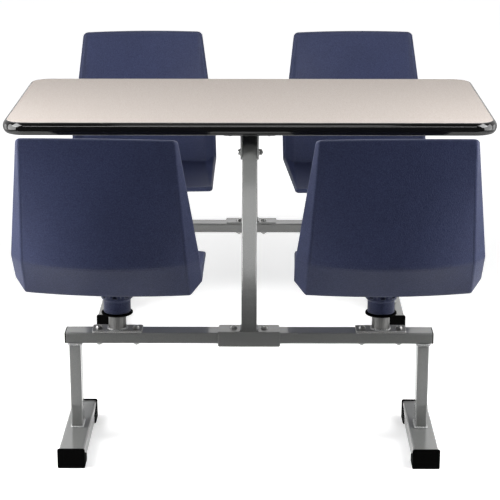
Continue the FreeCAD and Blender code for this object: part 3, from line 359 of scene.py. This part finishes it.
class Beads:
    """Rippled weld beads, all in one mesh."""

    def __init__(self, name):
        self.name, self.points, self.faces = name, [], []

    def lay(self, path, radius, closed=False):
        """A bead along a line of points: overlapping ripples, a little uneven."""
        path = [Vector(point) for point in path]
        if closed:
            path.append(path[0])
        step, sections = BEAD_STEP * radius, []
        for start, end in zip(path, path[1:]):
            count = max(1, round((end - start).length / step))
            sections += [(start.lerp(end, i / count), (end - start).normalized()) for i in range(count)]
        if not closed:
            sections.append((path[-1], sections[-1][1]))
        first, around = len(self.points), BEAD_AROUND
        for i, (centre, along) in enumerate(sections):
            size = ripple(i, centre)
            if not closed and i in (0, len(sections) - 1):
                size *= BEAD_END
            side = along.cross(Vector((0.0, 0.0, 1.0)))
            side = side.normalized() if side.length > 0.1 else Vector((1.0, 0.0, 0.0))
            up = side.cross(along)
            for k in range(around):
                turn = 2 * math.pi * k / around
                self.points.append(centre + radius * size * (math.cos(turn) * side + math.sin(turn) * up))
        rows = len(sections)
        for i in range(rows if closed else rows - 1):
            for k in range(around):
                a, b = first + i * around, first + (i + 1) % rows * around
                self.faces.append((a + k, a + (k + 1) % around, b + (k + 1) % around, b + k))
        if not closed:
            last = first + (rows - 1) * around
            self.faces.append(tuple(first + k for k in reversed(range(around))))
            self.faces.append(tuple(last + k for k in range(around)))

    def finish(self):
        """One smooth object of all the beads, welded to the frame."""
        mesh = bpy.data.meshes.new(self.name)
        mesh.from_pydata(self.points, [], self.faces)
        mesh.materials.append(WELD_LOOK)
        mesh.shade_smooth()
        thing = bpy.data.objects.new(self.name, mesh)
        bpy.context.scene.collection.objects.link(thing)
        smoother = thing.modifiers.new("smooth", "SUBSURF")
        smoother.levels = smoother.render_levels = 1
        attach(thing, "frame")


def corners_of(node):
    """A node's lowest and highest corner."""
    return [Vector(corner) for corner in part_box(node)]


def outline(low, high, z, corner, out):
    """Rounded rectangle at a height, a little outside the box between two corners."""
    points = []
    for sx, sy, quarter in ((1, 1, 0), (-1, 1, 1), (-1, -1, 2), (1, -1, 3)):
        middle_x = (high if sx > 0 else low).x - sx * corner
        middle_y = (high if sy > 0 else low).y - sy * corner
        reach = corner + out
        for k in range(4):
            turn = math.pi / 2 * (quarter + k / 3)
            points.append((middle_x + reach * math.cos(turn), middle_y + reach * math.sin(turn), z))
    return points


def ring(middle, z, reach):
    """Points on a circle at a height."""
    turns = [math.radians(360 / COLUMN_BEAD_POINTS * k) for k in range(COLUMN_BEAD_POINTS)]
    return [(middle.x + reach * math.cos(turn), middle.y + reach * math.sin(turn), z) for turn in turns]


def weld_beads():
    legs, posts, columns = Beads("weld_legs"), Beads("weld_posts"), Beads("weld_columns")
    for station in STATIONS:
        low, high = corners_of("leg_" + station)
        foot = outline(low, high, low.z + FOOT_BEAD_RISE, LEG_CORNER, FOOT_BEAD_OUT)
        legs.lay(foot, FOOT_BEAD, closed=True)
        beam = outline(low, high, high.z - BEAM_BEAD_DROP, LEG_CORNER, BEAM_BEAD_OUT)
        legs.lay(beam, BEAM_BEAD, closed=True)
        low, high = corners_of("pedestal_" + station)
        circle = ring((low + high) / 2, low.z + COLUMN_BEAD_RISE, COLUMN_RADIUS + COLUMN_BEAD_OUT)
        columns.lay(circle, COLUMN_BEAD, closed=True)
    for end, out in (("front", -1), ("rear", 1)):
        z = corners_of("saddle_" + end)[1].z + POST_BEAD_RISE
        low, high = corners_of("post_" + end)
        face = low.y if out < 0 else high.y
        for side in (-1, 1):
            x = side * (POST_HALF + POST_BEAD_OUT)
            posts.lay([(x, face - out * POST_BEAD_FROM, z), (x, face - out * POST_BEAD_TO, z)], POST_BEAD)
    for beads in (legs, posts, columns):
        beads.finish()


weld_beads()


# ---------------------------------------------------------------- floor, light and camera

# the floor ends a little in front of the object, so that the beams' fronts mirror the darker room
FLOOR_SIDE, FLOOR_NEAR, FLOOR_FAR = 8.0, -1.25, 12.0
FLOOR_GREY, FLOOR_ROUGHNESS = 0.8, 0.9

# what the floor adds for the camera under the object, where its shadow falls, and further away, and the
# distances between which that rises
GLOW_NEAR, GLOW_FAR = 0.50, 1.0
GLOW_RISES, GLOW_RISEN = 0.8, 3.0

# share of the glow that reflections see
GLOW_MIRRORED = 0.5


def floor():
    """Pale floor that looks white to the camera but keeps the object's shadow."""
    mesh = bpy.data.meshes.new("floor")
    corners = [(-FLOOR_SIDE, FLOOR_NEAR, 0), (FLOOR_SIDE, FLOOR_NEAR, 0),
               (FLOOR_SIDE, FLOOR_FAR, 0), (-FLOOR_SIDE, FLOOR_FAR, 0)]
    mesh.from_pydata(corners, [], [(0, 1, 2, 3)])
    thing = bpy.data.objects.new("floor", mesh)
    bpy.context.scene.collection.objects.link(thing)
    material = bpy.data.materials.new("floor")
    material.use_nodes = True
    nodes, links = material.node_tree.nodes, material.node_tree.links
    shader = nodes["Principled BSDF"]
    shader.inputs["Base Color"].default_value = (FLOOR_GREY, FLOOR_GREY, FLOOR_GREY, 1.0)
    shader.inputs["Roughness"].default_value = FLOOR_ROUGHNESS
    shader.inputs["Specular IOR Level"].default_value = 0.0
    path = nodes.new("ShaderNodeLightPath")
    seen = nodes.new("ShaderNodeMath")
    seen.operation = "MAXIMUM"
    mirrored = nodes.new("ShaderNodeMath")
    mirrored.operation = "MULTIPLY"
    mirrored.inputs[1].default_value = GLOW_MIRRORED
    links.new(path.outputs["Is Glossy Ray"], mirrored.inputs[0])
    links.new(path.outputs["Is Camera Ray"], seen.inputs[0])
    links.new(mirrored.outputs[0], seen.inputs[1])
    glow = nodes.new("ShaderNodeMath")
    glow.operation = "MULTIPLY"
    away = nodes.new("ShaderNodeVectorMath")
    away.operation = "LENGTH"
    links.new(nodes.new("ShaderNodeTexCoord").outputs["Object"], away.inputs[0])
    level = nodes.new("ShaderNodeMapRange")
    level.interpolation_type = "SMOOTHSTEP"
    span = (("From Min", GLOW_RISES), ("From Max", GLOW_RISEN), ("To Min", GLOW_NEAR), ("To Max", GLOW_FAR))
    for socket, value in span:
        level.inputs[socket].default_value = value
    links.new(away.outputs["Value"], level.inputs["Value"])
    links.new(level.outputs[0], glow.inputs[1])
    links.new(seen.outputs[0], glow.inputs[0])
    shader.inputs["Emission Color"].default_value = (1.0, 1.0, 1.0, 1.0)
    links.new(glow.outputs[0], shader.inputs["Emission Strength"])
    mesh.materials.append(material)


# the world's strength: for light on the object, behind it and in front of it as reflections see them, and
# the directions, by their Y, between which it goes from the room's to the backdrop's
AMBIENT = 0.0
BACKDROP = 1.0
ROOM = 0.06
ROOM_ENDS, BACKDROP_STARTS = -0.1, 0.35


def world():
    """White for the camera. Reflections see white behind the object and a darker room in front of it."""
    studio = bpy.data.worlds.new("studio")
    bpy.context.scene.world = studio
    studio.use_nodes = True
    nodes, links = studio.node_tree.nodes, studio.node_tree.links
    back = nodes["Background"]
    back.inputs["Color"].default_value = (1.0, 1.0, 1.0, 1.0)
    path = nodes.new("ShaderNodeLightPath")
    where = nodes.new("ShaderNodeSeparateXYZ")
    links.new(nodes.new("ShaderNodeTexCoord").outputs["Generated"], where.inputs[0])

    def spread(value, low, high, start=0.0, end=1.0):
        """From low to high, each a number or an output, as the value goes from start to end."""
        node = nodes.new("ShaderNodeMapRange")
        links.new(value, node.inputs["Value"])
        node.inputs["From Min"].default_value = start
        node.inputs["From Max"].default_value = end
        for socket, level in (("To Min", low), ("To Max", high)):
            if isinstance(level, float):
                node.inputs[socket].default_value = level
            else:
                links.new(level, node.inputs[socket])
        return node.outputs[0]

    reflected = spread(where.outputs["Y"], ROOM, BACKDROP, ROOM_ENDS, BACKDROP_STARTS)
    unseen = spread(path.outputs["Is Glossy Ray"], AMBIENT, reflected)
    links.new(spread(path.outputs["Is Camera Ray"], unseen, 1.0), back.inputs["Strength"])


# name, place, aim, size and power in watts of each lamp
LAMPS = [
    ("near_left", (-1.45, -0.72, 0.80), (-0.45, -0.68, 0.62), (0.95, 0.9), 19.0),
    ("near_right", (1.45, -0.66, 0.80), (0.45, -0.68, 0.62), (0.95, 0.9), 14.0),
    ("high_left", (-1.35, -1.0, 1.5), (-0.5, -0.7, 0.75), (0.8, 0.8), 24.0),
    ("high_right", (1.35, -1.0, 1.5), (0.5, -0.7, 0.75), (0.8, 0.8), 22.5),
    ("rear_left", (-1.6, 0.2, 0.6), (-0.4, 0.3, 0.5), (0.5, 0.7), 2.5),
    ("rear_right", (1.6, 0.2, 0.6), (0.4, 0.3, 0.5), (0.5, 0.7), 2.5),
    ("strip", (0.0, -3.8, 3.0), (0.0, -0.3, 0.74), (3.2, 0.2), 24.0),
    ("high_front", (0.0, -2.28, 3.2), (0.0, -0.3, 0.5), (1.2, 0.40), 4.6),
    ("top", (0.0, 0.4, 2.2), (0.0, 0.1, 0.5), (3.2, 2.0), 4.0),
    ("rear", (0.0, 3.0, 3.6), (0.0, 0.0, 0.5), (4.4, 1.2), 44.0),
]


def softbox(name, at, towards, size, power):
    """Rectangular lamp that lights and is mirrored, but that the camera doesn't see."""
    lamp = bpy.data.lights.new(name, "AREA")
    lamp.shape = "RECTANGLE"
    lamp.size, lamp.size_y = size
    lamp.energy = power
    thing = bpy.data.objects.new(name, lamp)
    thing.location = at
    thing.rotation_euler = (Vector(towards) - Vector(at)).to_track_quat("-Z", "Y").to_euler()
    thing.visible_camera = False
    bpy.context.scene.collection.objects.link(thing)


# fitted to the outlines of the table top, the seats, the beams and the feet; lens and sensor in millimetres,
# tilt down and turn in radians
CAMERA_PLACE = (0.0262, -4.3457, 1.6047)
CAMERA_TILT, CAMERA_TURN = 0.2858, 0.0062
CAMERA_SENSOR, CAMERA_LENS, CAMERA_SHIFT = 36.0, 121.87, 0.012
CAMERA_SIGHT = 100.0


def camera():
    data = bpy.data.cameras.new("camera")
    data.sensor_width = CAMERA_SENSOR
    data.lens = CAMERA_LENS
    data.shift_y = CAMERA_SHIFT
    data.clip_end = CAMERA_SIGHT
    thing = bpy.data.objects.new("camera", data)
    thing.location = CAMERA_PLACE
    thing.rotation_euler = (math.pi / 2 - CAMERA_TILT, 0.0, CAMERA_TURN)
    bpy.context.scene.collection.objects.link(thing)
    bpy.context.scene.camera = thing


floor()
world()
for lamp in LAMPS:
    softbox(*lamp)
camera()

bpy.context.scene.view_settings.view_transform = "Standard"
